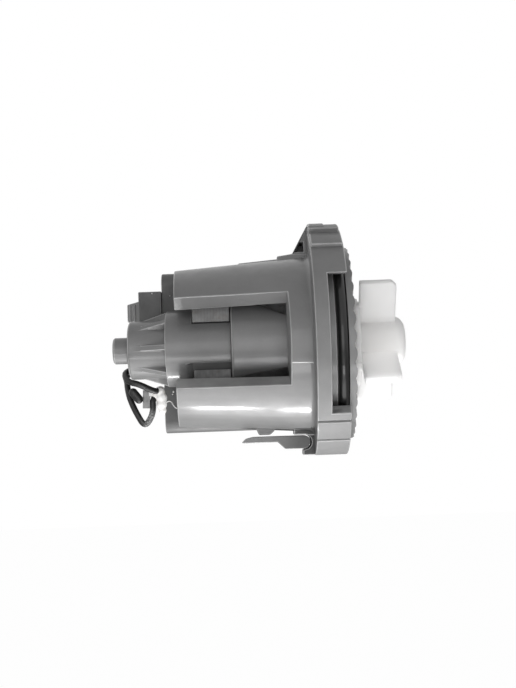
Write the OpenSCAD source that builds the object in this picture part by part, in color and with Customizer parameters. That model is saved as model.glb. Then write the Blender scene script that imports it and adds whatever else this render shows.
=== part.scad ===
// Drain pump for a dishwasher: a synchronous motor with a sealed rotor chamber, a bayonet flange
// and a four-bladed impeller. X runs along the shaft towards the impeller and Z is up.
// The origin is on the shaft's axis, in the front face of the flange ring, which seats on the sump.
// Distances behind that face are given as positive lengths. Angles run from the front (-Y) upwards.

/* [Flange ring] */
// Outer radius of the flange ring
ring_r = 36.8; // [35.8:0.1:38]
// Thickness of the flange ring
ring_t = 4.6; // [3.6:0.1:5.2]
// Radial wall of the two bayonet claws
claw_wall = 3.2; // [2.4:0.1:3.6]
// How far the claws reach in front of the ring
claw_reach = 6; // [5.6:0.1:9]
// Angle at which the upper claw starts
claw_from = 33.4; // [28:0.2:38]
// Angle that each claw covers
claw_span = 107; // [100:1:110]
// Rise of the low step on the upper claw
low_step_rise = 1.2; // [0.6:0.1:1.8]
// Rise of the high step on the upper claw
high_step_rise = 2.7; // [2.2:0.1:4]
// Angle from the end of the claw to the low step
low_step_inset = 18.6; // [16:0.2:24]
// Angle from the end of the claw to the high step
high_step_inset = 33.6; // [27:0.2:36]
// Width of the two grip grooves in the lower claw
groove_w = 0.9; // [0.5:0.1:1.4]
// Depth of the two grip grooves
groove_depth = 0.8; // [0.3:0.1:1.2]
// Angles from the front end of the lower claw to its grooves
groove_angles = [5.1, 19.8];

/* [Spigot and seal] */
// Step from the ring's outer radius in to the spigot that carries the seal
spigot_step = 7.8; // [7.6:0.1:8.4]
// Wall of the spigot
spigot_wall = 2; // [1.6:0.1:2.4]
// Step from the ring's outer radius in to the land behind the seal
land_step = 5.8; // [5.2:0.1:6.4]
// Width of the land behind the seal
land_w = 2.2; // [1.6:0.1:2.8]
// Thickness of the seal's cord
seal_cord = 3.5; // [3:0.1:3.9]
// Clearance between fitted rigid pieces
fit_clear = 0.1; // [0.05:0.01:0.15]

/* [Front plate] */
// Step from the ring's outer radius in to the front plate's edge
plate_step = 5.1; // [4.2:0.1:5.8]
// Thickness of the front plate
plate_t = 1.7; // [1.4:0.1:2.2]
// Number of grip bumps round the front plate
bump_count = 36; // [24:1:40]
// How far the bumps stand in front of the plate
bump_rise = 0.7; // [0.4:0.1:0.9]
// Width of one bump
bump_w = 4.6; // [3.6:0.1:4.8]
// Radial length of one bump
bump_len = 3.2; // [2:0.1:4.5]

/* [Housing] */
// Distance from the seating face back to the free end of the two arms
arm_reach = 48.1; // [46:0.1:52]
// Step from the ring's outer radius in to the body
arm_root_step = 7.9; // [7.2:0.1:8.6]
// How much smaller the body is at the arms' free end, in radius
arm_taper = 3.2; // [2.4:0.1:3.9]
// Inner radius of the arms
arm_inner_r = 19.5; // [19:0.1:20.4]
// How much wider the arms stand apart inside at the bulkhead, in radius
arm_inner_taper = 3.4; // [2:0.1:3.8]
// Angle from the front to the upper arm's edge at its free end
upper_edge = 34.4; // [30:0.2:38]
// Angle from the front to the lower arm's edge at its free end
lower_edge = 32; // [30:0.2:38]
// Angle by which both edges lean to the front on their way to the ring
arm_lean = 2.2; // [1:0.1:4]
// Slant of the arms' end faces, which reach further back behind the shaft
end_slant = 2.5; // [0:0.1:4]
// Slope across the wall at the ring's end of the window
window_slope = 5; // [0:0.5:8]
// Angle at which the upper arm ends at the back
arm_back = 108; // [104:1:109]
// Distance from the seating face back to the bulkhead's rear face
bulkhead_back = 12.9; // [12.2:0.1:14]
// Flare between the body and the ring, along the shaft
flare_len = 1.8; // [1.2:0.1:3]
// Step from the ring's outer radius in to the flare
flare_step = 6; // [5:0.1:7]
// Rise of the pad in front of the window
pad_rise = 0.45; // [0.2:0.05:0.8]

/* [Latch] */
// Width of the latch lever
latch_w = 10; // [8:0.5:12]
// Length of the latch lever from its hinge to its tip
latch_len = 20.5; // [19:0.1:22]
// Gap between the body and the lever's top face
latch_gap = 1.2; // [1:0.1:1.7]
// Thickness of the lever's thin end
latch_thin = 1.9; // [1.6:0.1:2.8]
// Thickness of the lever at its root
latch_thick = 4.2; // [3.6:0.1:4.6]
// Distance from the seating face back to the lever's hinge
hinge_back = 8; // [7.6:0.1:8.6]
// Gap between the lever and the stop tooth
tooth_gap = 0.6; // [0.5:0.1:1.2]
// Gap between the lever and its mount
hinge_gap = 0.3; // [0.25:0.05:0.5]

/* [Shaft and rotor] */
// Radius of the shaft
shaft_r = 2; // [1.5:0.1:2.4]
// Length of the shaft
shaft_len = 83; // [82:0.1:84]
// Distance from the seating face back to the shaft's rear end
shaft_back = 62; // [61.7:0.1:62.1]
// Running clearance of the shaft in its bearings
run_clear = 0.04; // [0.02:0.01:0.08]
// Outer radius of the bearings
bearing_r = 4.6; // [4.2:0.1:5]
// Outer radius of the rotor magnet
magnet_r = 10.1; // [9.5:0.1:10.3]
// Length of the rotor magnet
magnet_len = 20; // [14:0.5:21]
// Wall of the plastic sleeve inside the magnet
sleeve_wall = 3.4; // [2.6:0.1:4]
// Gap between the magnet and the rotor chamber
air_gap = 0.5; // [0.35:0.05:0.8]
// Radius at which the coupling dogs work
dog_r = 8; // [7.2:0.1:9]
// Half of the angle that each coupling dog covers
dog_half = 40; // [30:1:41]
// Angle covered by each damper pad
damper_angle = 6; // [4:0.5:7]

/* [Rotor chamber and motor cover] */
// Wall of the rotor chamber
can_wall = 0.9; // [0.7:0.05:1.2]
// Outer radius of the chamber's front collar
collar_r = 17; // [16:0.1:17.6]
// Wall of the front collar
collar_wall = 1.4; // [1.1:0.1:1.8]
// Length of the collar that shows behind the bulkhead
collar_len = 17.8; // [16.5:0.1:19]
// Wall of the motor cover's sleeve
cover_wall = 1; // [0.8:0.1:1.3]
// Length of the motor cover's full sleeve behind the core
cover_len = 8.8; // [7.5:0.1:10]
// Height above the axis of the cover's strip between the pole tips
strip_up = 7.4; // [6:0.1:7.5]
// Depth below the axis of that strip
strip_down = 5.6; // [4.8:0.1:6.4]
// Ramp at the rear end of the cut below the strip
strip_ramp = 2.2; // [0.5:0.1:3]
// Outer radius of the dome
dome_r = 9.7; // [9.2:0.1:10.6]
// Wall of the dome
dome_wall = 1; // [0.8:0.1:1.2]
// Length of the dome
dome_len = 12.6; // [12.2:0.1:13]
// Radius of the rear pin
boss_r = 4.4; // [3.6:0.1:5]
// Length of the rear pin
boss_len = 5.4; // [4:0.1:7]
// Number of ribs round the dome
rib_count = 8; // [6:1:10]
// Thickness of one rib
rib_t = 1.8; // [0.9:0.1:2.2]
// Length of one rib along the shaft
rib_len = 9.4; // [7:0.1:10]

/* [Core and coils] */
// Thickness of the core's stack of sheets
stack_t = 12; // [10:0.1:13]
// Gap between the core's two pole tips
pole_gap = 15.5; // [13.6:0.1:16.5]
// Distance from the axis to the outer face of a core leg
leg_out = 15.9; // [15:0.1:16.2]
// Distance from the axis forward to the pole tips' front face
pole_front = 10.9; // [10:0.1:11.5]
// Distance from the axis back to the far face of the core
core_back = 37.4; // [36.4:0.1:38]
// Height of the core's yoke across its sheets
yoke_w = 7; // [6:0.1:7.4]
// Wall of the coil bobbins
bobbin_wall = 1; // [0.8:0.1:1.2]
// Depth of the wire on a bobbin
wire_depth = 4.6; // [3.5:0.1:5]

/* [Coil housing] */
// Distance from the axis back to the coil housing's front face
block_front = 9.3; // [9.25:0.05:9.8]
// Depth of the coil housing
block_depth = 30.2; // [29.8:0.1:32]
// Height of the coil housing's top above the axis
block_up = 27.1; // [26:0.1:29]
// Depth of the coil housing's underside below the axis
block_down = 28; // [26:0.1:29]
// Length of the coil housing along the shaft
block_len = 41.6; // [40:0.1:44]
// Wall of the coil housing
block_wall = 1.8; // [1.4:0.1:2]
// Rounding of the coil housing's long edges
block_round = 4; // [3:0.1:6]
// Thickness of the coil housing's back cover
lid_t = 1.8; // [1.2:0.1:2.4]

/* [Connector and leads] */
// Length of the connector socket behind the coil housing
socket_len = 7.8; // [7:0.1:9]
// Width of the connector socket
socket_w = 18; // [17:0.1:19]
// Height of the connector socket
socket_h = 14.4; // [13.5:0.1:15.5]
// Wall of the connector socket
socket_wall = 1.2; // [0.9:0.1:1.5]
// Drop from the coil housing's top to the socket's top
socket_drop = 6.6; // [6:0.1:8]
// Distance from the axis back to the socket's near side
socket_near = 7.5; // [7:0.1:8.5]
// How far the contact tongue stands out of the socket
tongue_out = 4.7; // [3:0.1:5]
// Thickness of the contact tongue
tongue_t = 4; // [3.2:0.1:4.6]
// Thickness of a contact
contact_t = 0.6; // [0.4:0.1:0.8]
// Diameter of the leads
lead_d = 2.1; // [1.8:0.1:2.2]

/* [Impeller] */
// Radius of the impeller's blades
blade_r = 23; // [20:0.1:26]
// Length of the blades along the shaft
blade_len = 12; // [9:0.1:14]
// Thickness of a blade
blade_t = 2.5; // [1.6:0.1:3.2]
// Bevel on a blade's front corner
blade_bevel = 1.5; // [0.6:0.1:3]
// Number of blades
blade_count = 4; // [3:1:6]
// Angle of the first blade
blade_turn = 54; // [0:1:89]
// Radius of the impeller's base
base_r = 14.6; // [12:0.1:18]
// Thickness of the impeller's base
base_t = 2.3; // [1.6:0.1:3]
// Gap between the front plate and the impeller
impeller_gap = 1.5; // [1.2:0.1:2]
// Radius of the impeller's hub
hub_r = 8.3; // [6.5:0.1:9.5]
// How far the hub stands in front of the blades
nose_len = 3.2; // [2:0.1:4.5]
// Radius of the hub's flat nose
nose_r = 5.7; // [4:0.1:6.2]

/* [Hidden] */
$fn = 96;

// Overlap that joins two shapes of one piece
join = 0.2;
// Extra length of a cut past the face it leaves
past = 1;
// Radial clearance of a press fit, and gap between faces that move past each other
press_clear = 0.02;
move_gap = 0.3;

// Radii that follow the flange ring
spigot_r = ring_r - spigot_step;
land_r = ring_r - land_step;
plate_r = ring_r - plate_step;
flare_r = ring_r - flare_step;
arm_root_r = ring_r - arm_root_step;
arm_tip_r = arm_root_r - arm_taper;
latch_top = arm_root_r + latch_gap;

// Places along the shaft, from the seating face
bulk_x = -bulkhead_back;
recess_x = 0.6 - ring_t;
plate_x = land_w + seal_cord + fit_clear;
plate_front = plate_x + plate_t;
collar_x = bulk_x - collar_len;
stack_front = collar_x - move_gap;
stack_rear = stack_front - stack_t;
stack_mid = stack_front - stack_t / 2;
cover_step = stack_rear - move_gap;
cover_rear = cover_step - cover_len;
dome_rear = cover_rear - dome_len;
block_rear = bulk_x - block_len;

// Height of the socket's top above the axis
socket_top = block_up - socket_drop;

// Radii from the magnet outwards
can_in_r = magnet_r + air_gap;
can_r = can_in_r + can_wall;
cover_in_r = can_r + fit_clear;
cover_r = cover_in_r + cover_wall;
stator_bore_r = can_r + move_gap;
can_tail_r = dome_r - dome_wall - fit_clear;
can_tail_in_r = can_tail_r - can_wall;
collar_in_r = collar_r - collar_wall;
spigot_in_r = spigot_r - spigot_wall;
claw_in_r = ring_r - claw_wall;
crest_inset = 3;
crest_rise = 0.4;
crest_front = 0.7;
slot_drop = 0.7;
slot_slant = 52;

// Chamber ends
end_wall = 1.2;
can_rear = dome_rear + end_wall + fit_clear;
can_rear_in = can_rear + can_wall;
can_shoulder = cover_rear + cover_wall + fit_clear;
can_flange_t = 1.6;
gasket_t = 1.4;
gasket_r = spigot_in_r - 2.5;
gasket_w = 3;

// Bearings, washers, rotor and coupling along the shaft
washer_t = 0.8;
rear_bearing_len = 7;
front_bearing_len = 8;
rear_bearing_x = can_rear_in + move_gap;
rear_washer_x = rear_bearing_x + rear_bearing_len;
sleeve_x = rear_washer_x + washer_t + move_gap;
magnet_x = can_shoulder + can_wall + air_gap;
magnet_front = magnet_x + magnet_len;
sleeve_flange_t = 1.5;
dog_len = 3.7;
dog_plate_t = 2;
sleeve_dog_x = magnet_front + sleeve_flange_t;
drive_dog_x = sleeve_dog_x + move_gap;
dog_plate_x = sleeve_dog_x + dog_len + move_gap;
front_bearing_x = bulk_x - 4.3;
front_bearing_end = front_bearing_x + front_bearing_len;
front_washer_x = front_bearing_x - washer_t;
dog_hub_front = front_washer_x - move_gap;
dog_hub_r = shaft_r + 2.7;
sleeve_in_r = shaft_r + run_clear;
sleeve_r = sleeve_in_r + sleeve_wall;
holder_len = 6;
holder_x = front_bearing_x + 1;

// Plate hub and seal of the shaft
plate_hub_in_r = 6;
plate_hub_wall = 2.4;
plate_hub_back = 7;
shaft_seal_len = 5;

// Impeller
impeller_x = plate_front + impeller_gap;
blade_x = impeller_x + base_t;
blade_front = blade_x + blade_len;
nose_x = blade_front + nose_len;
nose_bevel = 2.7;
nose_crown = 0.4;

// Latch
hinge_z = -(latch_top + latch_thick / 2);
tooth_low = latch_top - tooth_gap;

// Housing details
tooth_rear = 23.5;
tooth_front = 17.6;
tooth_taper = 1.5;
tooth_w = 8;
foot_rear = 8.5;
foot_low = ring_r - 0.2;
foot_w = 9;
root_block_rear = 11.3;
root_block_low = latch_top;
wall_inside = arm_root_r - 3.9;
gusset_y = [-2, 10];
gusset_back = 9.6;
gusset_low = arm_root_r + 1.4;
gusset_web = 0.6;
pocket_depth = 8;
hole_low = gusset_low + 0.6;
hole_high = ring_r - 2.7;
shelf_back = 14.7;
shelf_span = [84, 118];
rail_back = 27.7;
rail_span = [84, 107];
pad_from = -15.2;
pad_to = 46;
flare_steps = 6;
end_margin = 4;

// Coil housing details
block_back = block_front + block_depth;
trough_gap = 0.4;
trough_wall = 1;
coil_y = collar_r + trough_gap + trough_wall + fit_clear;
coil_end = core_back - yoke_w - fit_clear;
wire_margin = 0.4;
tongue_y = socket_near + socket_w / 2;
tongue_h = 7.2;
tongue_drop = 2.3;

// Routes of the two leads, from the socket's underside to the glue on the coil housing
lead_top = socket_top - socket_h;
short_route = [
    [-59.5, 16.5, lead_top], [-59.5, 16.5, 3], [-60.1, 16, 0], [-61.2, 15, -2.6], [-63, 13.7, -4.5],
    [-65.2, 12.9, -5.6], [-67, 12.2, -6.23], [-67.79, 10.6, -7.16], [-67.41, 8.8, -8.82],
    [-65.91, 7.4, -10.15], [-63.65, 6.8, -10.8], [-61.49, 7, -11.69], [-59.57, 7.8, -12.65],
    [-57.8, 8.6, -13.37], [-56.21, 9.8, -13.5]
];
loop_route = [
    [-61.5, 21.5, lead_top], [-61.5, 21.5, 3], [-62.3, 20.6, -1], [-64.8, 19, -5], [-68.03, 16.8, -7.77],
    [-67.78, 14.8, -10.11], [-67.38, 13.2, -12.59], [-66.66, 12.1, -15.4], [-65.47, 11.2, -18.37],
    [-64.23, 10.5, -20.85], [-63.12, 10.2, -22.87], [-62.28, 10, -24.12], [-61.47, 9.9, -24.59],
    [-60.64, 9.9, -24.21], [-59.84, 9.8, -23.12], [-59, 9.7, -21.45], [-58.52, 9.7, -19.15],
    [-58.57, 9.8, -16.93], [-58.17, 10.6, -15.67]
];

// Clip, fuse and glue at the end of the leads
crimp_at = [-60.85, 11, -16.1];
crimp_size = [2.4, 1.2, 6.2];
crimp_tilt = 2;
cutout_at = [-64.15, 8.7, -14.85];
cutout_len = 3;
cutout_d = 3;
cutout_tilt = -38;
glue_balls = [
    [-56.04, 10.4, -13.7, 2], [-57.38, 10.6, -14.67, 1.6], [-58.85, 11, -14.06, 1.4],
    [-55.43, 10.6, -15.84, 2.3], [-55.42, 10.5, -18.06, 2.1], [-55.06, 10.4, -20.09, 1.6]
];

// Radius of the tapered body at a distance behind the seating face
function body_r(back) =
    arm_root_r - (arm_root_r - arm_tip_r) * (back - ring_t - flare_len) / (arm_reach - ring_t - flare_len);

// Colours
housing_grey = [0.45, 0.45, 0.46];
inner_grey = [0.5, 0.5, 0.5];
block_grey = [0.32, 0.32, 0.33];
rubber_black = [0.06, 0.06, 0.06];
impeller_white = [0.93, 0.93, 0.92];
steel = [0.75, 0.76, 0.78];
copper = [0.72, 0.4, 0.2];

// Turns an outline of radius against distance along the shaft through a full circle
module turned() {
    rotate([90, 0, 90])
        rotate_extrude()
            children();
}

// The same outline over part of a circle
module swing(from, to) {
    rotate([90, 0, 90])
        rotate([0, 0, 180 - to])
            rotate_extrude(angle = to - from)
                children();
}

// Rectangle in such an outline
module band(r_in, r_out, x_from, x_to) {
    translate([r_in, x_from])
        square([r_out - r_in, x_to - x_from]);
}

// Turns what points up to another angle round the shaft
module at_angle(a) {
    rotate([90 - a, 0, 0])
        children();
}

// Plate of an outline in X and Z, centred on the shaft's plane
module slab(w) {
    rotate([90, 0, 0])
        linear_extrude(w, center = true)
            children();
}

// Bar along X of an outline in Y and Z
module bar(x_from, x_to) {
    translate([x_from, 0, 0])
        rotate([90, 0, 90])
            linear_extrude(x_to - x_from)
                children();
}

// Box between two corners
module block(low, high) {
    translate(low)
        cube(high - low);
}

// Rectangle between two corners with round corners
module rounded(low, high, r) {
    translate([low[0] + r, low[1]])
        square([high[0] - low[0] - 2 * r, high[1] - low[1]]);
    translate([low[0], low[1] + r])
        square([high[0] - low[0], high[1] - low[1] - 2 * r]);
    for (x = [low[0] + r, high[0] - r], y = [low[1] + r, high[1] - r])
        translate([x, y])
            circle(r);
}

// Outline of the housing as if its arms and claws ran all the way round
module housing_outline() {
    tip = -arm_reach - end_margin;
    flare = [
        for (i = [0 : flare_steps])
            let (t = 90 * i / flare_steps)
            [
                arm_root_r + (flare_r - arm_root_r) * (1 - cos(t)),
                -ring_t - flare_len + flare_len * sin(t)
            ]
    ];
    polygon(concat(
        [[collar_r + fit_clear, bulk_x], [arm_inner_r + arm_inner_taper, bulk_x], [arm_inner_r, tip],
        [arm_tip_r, tip]],
        flare,
        [
            [ring_r, -ring_t], [ring_r, claw_reach], [claw_in_r, claw_reach], [claw_in_r, 0],
            [land_r, 0], [land_r, land_w], [spigot_r, land_w], [spigot_r, plate_x],
            [spigot_in_r, plate_x], [spigot_in_r, recess_x], [collar_r + fit_clear, recess_x]
        ]
    ));
}

// Room on the window's side of one arm's leaning edge
module edge_side(side, edge) {
    long = 2 * arm_reach;
    translate([-arm_reach, 0, 0])
        rotate([-side * edge, 0, 0])
            rotate([0, side * arm_lean, 0])
                block(
                    [-arm_reach, -2 * ring_r, side > 0 ? -2 * ring_r : 0],
                    [long, 0, side > 0 ? 0 : 2 * ring_r]
                );
}

// Windows between the arms at the front and at the back, cut a little into the bulkhead
module arm_windows() {
    intersection() {
        union() {
            block([-arm_reach - end_margin - past, -ring_r, -ring_r], [bulk_x + join, 0, ring_r]);
            translate([bulk_x + join, -arm_inner_r, 0])
                rotate([0, 0, window_slope])
                    block([-arm_reach, -ring_r, -ring_r], [0, 0, ring_r]);
        }
        edge_side(1, upper_edge);
        edge_side(-1, lower_edge);
    }
    swing(arm_back, 360 - arm_back)
        band(0, ring_r, -arm_reach - end_margin - past, bulk_x + join);
}

// Room behind the arms' slanted end faces
module arm_ends() {
    translate([-arm_reach, -arm_tip_r * cos(upper_edge), 0])
        rotate([0, 0, end_slant])
            block([-4 * end_margin, -ring_r, -ring_r], [0, 3 * ring_r, ring_r]);
}

// Outline in Y and Z of the front slot: level under the upper claw, slanted above the lower one
module front_slot_outline() {
    upper_z = ring_r * sin(claw_from) - slot_drop;
    lower_angle = claw_from + claw_span - 180;
    lower_y = -ring_r * cos(lower_angle);
    lower_z = ring_r * sin(lower_angle);
    reach = 2 * claw_wall;
    difference() {
        polygon([
            [-ring_r - past, upper_z], [lower_y + reach, upper_z],
            [lower_y + reach, lower_z + reach * tan(slot_slant)],
            [lower_y - reach, lower_z - reach * tan(slot_slant)], [-ring_r - past, lower_z]
        ]);
        circle((land_r + claw_in_r) / 2);
    }
}

// Slots between the two claws
module claw_slots() {
    bar(0, claw_reach + past)
        front_slot_outline();
    swing(claw_from + claw_span, claw_from + 180)
        band((land_r + claw_in_r) / 2, ring_r + past, 0, claw_reach + past);
}

// Steps on the upper claw and the ring below it, set in from the ring's faces
module claw_steps() {
    for (s = [[low_step_inset, low_step_rise, 0.6, 1.5, 0.3],
            [high_step_inset, high_step_rise, 0.4, 0.5, 0.8]])
        swing(claw_from + s[0], claw_from + claw_span - s[0])
            band(ring_r - claw_wall * s[2], ring_r + s[1], -ring_t + s[3] * join, claw_reach - s[4]);
    swing(claw_from + high_step_inset + crest_inset, claw_from + claw_span - high_step_inset - crest_inset)
        band(ring_r - claw_wall / 2, ring_r + high_step_rise + crest_rise, join - ring_t, crest_front);
}

// Grip grooves across the front end of the lower claw and the ring
module claw_grooves() {
    claw_end = claw_from + claw_span - 180;
    for (a = groove_angles)
        at_angle(claw_end - a)
            slab(groove_w)
                translate([-ring_t - past, ring_r - groove_depth])
                    square([ring_t + claw_reach + 2 * past, groove_depth + past]);
}

// Sloping rib behind the top of the ring, with a pocket in its front side
module top_gusset() {
    top_z = ring_r + high_step_rise - join;
    slope = (gusset_back - ring_t) / (top_z - gusset_low);
    difference() {
        translate([0, (gusset_y[0] + gusset_y[1]) / 2, 0])
            slab(gusset_y[1] - gusset_y[0])
                polygon([
                    [join - ring_t, wall_inside], [join - ring_t, top_z], [-ring_t, top_z],
                    [-gusset_back, gusset_low], [-gusset_back, wall_inside]
                ]);
        translate([0, gusset_y[0], 0])
            slab(2 * pocket_depth)
                polygon([
                    [-gusset_back + slope * (hole_low - gusset_low) + gusset_web, hole_low],
                    [-gusset_back + slope * (hole_high - gusset_low) + gusset_web, hole_high],
                    [-ring_t - 2 * gusset_web, hole_high], [-ring_t - 2 * gusset_web, hole_low]
                ]);
    }
}

// Raised rail and shelf at the top of the body, and the pad beside the window, which fades out upwards
module body_pads() {
    pad_shift = pad_rise / (1 - cos(pad_to - pad_from));
    pad_grow = pad_rise - pad_shift;
    swing(rail_span[0], rail_span[1])
        polygon([
            [wall_inside - 1, -rail_back], [body_r(rail_back) + pad_rise, -rail_back],
            [body_r(shelf_back) + pad_rise, join - shelf_back], [wall_inside - 1, join - shelf_back]
        ]);
    swing(shelf_span[0], shelf_span[1])
        polygon([
            [wall_inside, -shelf_back], [body_r(shelf_back) + 3 * pad_rise, -shelf_back],
            [gusset_low, -gusset_back], [gusset_low, join - ring_t], [wall_inside, join - ring_t]
        ]);
    translate([0, -pad_shift * cos(pad_from), pad_shift * sin(pad_from)])
        swing(pad_from, pad_to)
            polygon([
                [wall_inside, bulk_x + join], [body_r(bulkhead_back) + pad_grow, bulk_x + join],
                [arm_root_r + pad_grow, -ring_t - flare_len], [arm_root_r + pad_grow, join - ring_t],
                [wall_inside, join - ring_t]
            ]);
}

// Tooth above the latch lever that stops its travel
module stop_tooth() {
    slab(tooth_w)
        polygon([
            [-tooth_rear, -wall_inside], [-tooth_front, -wall_inside],
            [-tooth_front, -body_r(tooth_front) - join],
            [-tooth_front - tooth_taper, -tooth_low], [-tooth_rear + tooth_taper / 2, -tooth_low],
            [-tooth_rear, -body_r(tooth_rear) - join]
        ]);
}

// Foot and root block that the latch lever grows out of
module latch_mount() {
    difference() {
        union() {
            block([-foot_rear, -foot_w / 2, -foot_low], [join - ring_t, foot_w / 2, -wall_inside]);
            block([-root_block_rear, -latch_w / 2, -root_block_low],
                [2 * join - ring_t, latch_w / 2, -wall_inside]);
        }
        translate([-hinge_back, 0, hinge_z])
            slab(latch_w + 2 * hinge_gap)
                circle(latch_thick / 2 + hinge_gap);
        block(
            [-root_block_rear - past, -latch_w / 2 - hinge_gap, hinge_z - latch_thick / 2 - hinge_gap],
            [-hinge_back, latch_w / 2 + hinge_gap, hinge_z + latch_thick / 2 + hinge_gap]
        );
    }
}

module flange_housing() {
    color(housing_grey)
        difference() {
            union() {
                turned()
                    housing_outline();
                claw_steps();
                top_gusset();
                body_pads();
                stop_tooth();
                latch_mount();
            }
            arm_windows();
            arm_ends();
            claw_slots();
            claw_grooves();
        }
}

module latch_lever() {
    ramp_rear = 8.8;
    ramp_front = 6.3;
    tip_drop = 1.7;
    bevel = 3.6;
    top = latch_thick / 2;
    color(housing_grey)
        translate([-hinge_back, 0, hinge_z])
            slab(latch_w) {
                circle(latch_thick / 2);
                polygon([
                    [0, top], [-latch_len + bevel, top], [-latch_len + bevel / 3, top - tip_drop / 3],
                    [-latch_len, top - tip_drop], [-latch_len + bevel / 5, top - latch_thin],
                    [-ramp_rear, top - latch_thin], [-ramp_front, -top], [0, -top]
                ]);
            }
}

// Outline of a bump's curved front in X and Y
module bump_outline() {
    bump_r = (pow(bump_w / 2, 2) + pow(bump_rise, 2)) / (2 * bump_rise);
    half_angle = asin(bump_w / 2 / bump_r);
    arc_steps = 6;
    polygon(concat(
        [[-join, -bump_w / 2]],
        [
            for (i = [0 : arc_steps])
                let (t = half_angle * (2 * i / arc_steps - 1))
                [bump_rise - bump_r * (1 - cos(t)), bump_r * sin(t)]
        ],
        [[-join, bump_w / 2]]
    ));
}

module front_plate() {
    press_ring_r = gasket_r + 0.3;
    press_ring_w = 3.4;
    rim_w = 1.4;
    rim_back = 2.5;
    mouth_r = shaft_r + 0.8;
    color(inner_grey) {
        turned()
            polygon([
                [mouth_r, plate_front], [mouth_r, plate_x], [plate_hub_in_r, plate_x - plate_t],
                [plate_hub_in_r, -plate_hub_back], [plate_hub_in_r + plate_hub_wall, -plate_hub_back],
                [plate_hub_in_r + plate_hub_wall, plate_x],
                [press_ring_r - press_ring_w, plate_x],
                [press_ring_r - press_ring_w, recess_x + can_flange_t + gasket_t],
                [press_ring_r, recess_x + can_flange_t + gasket_t], [press_ring_r, plate_x],
                [spigot_in_r - fit_clear - rim_w, plate_x], [spigot_in_r - fit_clear - rim_w, rim_back],
                [spigot_in_r - fit_clear, rim_back], [spigot_in_r - fit_clear, plate_x],
                [plate_r, plate_x], [plate_r, plate_front]
            ]);
        for (i = [0 : bump_count - 1])
            at_angle(i * 360 / bump_count)
                translate([plate_front, 0, plate_r - bump_len - join])
                    linear_extrude(bump_len)
                        bump_outline();
    }
}

module sump_o_ring() {
    color(rubber_black)
        turned()
            translate([spigot_r + seal_cord / 2 + press_clear, land_w + seal_cord / 2 + press_clear])
                circle(seal_cord / 2);
}

module can_seal() {
    color(rubber_black)
        turned()
            band(gasket_r - gasket_w, gasket_r, recess_x + can_flange_t, recess_x + can_flange_t + gasket_t);
}

module rotor_can() {
    collar_round = 1.2;
    flange_out_r = spigot_in_r - fit_clear;
    color(inner_grey)
        turned()
            polygon([
                [0, can_rear], [can_tail_r, can_rear], [can_tail_r, can_shoulder], [can_r, can_shoulder],
                [can_r, collar_x], [collar_r - collar_round, collar_x],
                [collar_r - 0.3 * collar_round, collar_x + 0.3 * collar_round],
                [collar_r, collar_x + collar_round], [collar_r, recess_x], [flange_out_r, recess_x],
                [flange_out_r, recess_x + can_flange_t], [collar_in_r, recess_x + can_flange_t],
                [collar_in_r, collar_x + collar_wall], [can_in_r, collar_x + collar_wall],
                [can_in_r, can_shoulder + can_wall], [can_tail_in_r, can_shoulder + can_wall],
                [can_tail_in_r, can_rear_in], [0, can_rear_in]
            ]);
}

module motor_cover() {
    dome_round = 0.9;
    boss_round = 0.5;
    rib_tip_r = cover_r - 0.3;
    up_angle = asin(strip_up / cover_r);
    down_angle = asin(strip_down / cover_r);
    color(inner_grey)
        difference() {
            union() {
                turned()
                    polygon([
                        [0, dome_rear - boss_len], [boss_r - boss_round, dome_rear - boss_len],
                        [boss_r, dome_rear - boss_len + boss_round], [boss_r, dome_rear],
                        [dome_r - dome_round, dome_rear],
                        [dome_r - 0.3 * dome_round, dome_rear + 0.3 * dome_round],
                        [dome_r, dome_rear + dome_round], [dome_r, cover_rear], [cover_r, cover_rear],
                        [cover_r, collar_x - fit_clear], [cover_in_r, collar_x - fit_clear],
                        [cover_in_r, cover_rear + cover_wall], [dome_r - dome_wall, cover_rear + cover_wall],
                        [dome_r - dome_wall, dome_rear + end_wall], [0, dome_rear + end_wall]
                    ]);
                for (i = [0 : rib_count - 1])
                    at_angle(i * 360 / rib_count)
                        slab(rib_t)
                            polygon([
                                [cover_rear + join, dome_r - dome_wall / 2], [cover_rear + join, rib_tip_r],
                                [cover_rear, rib_tip_r], [cover_rear - rib_len, dome_r - dome_wall / 2]
                            ]);
            }
            swing(up_angle, 180 - up_angle)
                band(cover_in_r - past, cover_r + past, cover_step, collar_x + past);
            swing(180 + down_angle, 360 - down_angle)
                polygon([
                    [cover_in_r - past, collar_x + past], [cover_in_r - past, cover_step],
                    [cover_in_r, cover_step],
                    [cover_r + past, cover_step - strip_ramp * (cover_wall + past) / cover_wall],
                    [cover_r + past, collar_x + past]
                ]);
        }
}

// Outline in Y and Z of the core: two legs with a bore between their tips, joined at the back
module core_outline() {
    tip_chamfer = 2;
    half_gap = pole_gap / 2;
    chamfer_y = tip_chamfer - pole_front;
    chamfer_z = leg_out - tip_chamfer;
    yoke_y = core_back - yoke_w;
    difference() {
        polygon([
            [-pole_front, half_gap], [-pole_front, chamfer_z], [chamfer_y, leg_out], [core_back, leg_out],
            [core_back, -leg_out], [chamfer_y, -leg_out], [-pole_front, -chamfer_z], [-pole_front, -half_gap],
            [yoke_y, -half_gap], [yoke_y, half_gap]
        ]);
        circle(stator_bore_r);
    }
}

module stator_core() {
    color(steel)
        bar(stack_rear, stack_front)
            core_outline();
}

// Box round a core leg that stands off it by a margin
module leg_box(side, margin, y_from, y_to) {
    middle = side * (pole_gap / 2 + leg_out) / 2;
    half = (leg_out - pole_gap / 2) / 2 + margin;
    block([stack_rear - margin, y_from, middle - half], [stack_front + margin, y_to, middle + half]);
}

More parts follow.
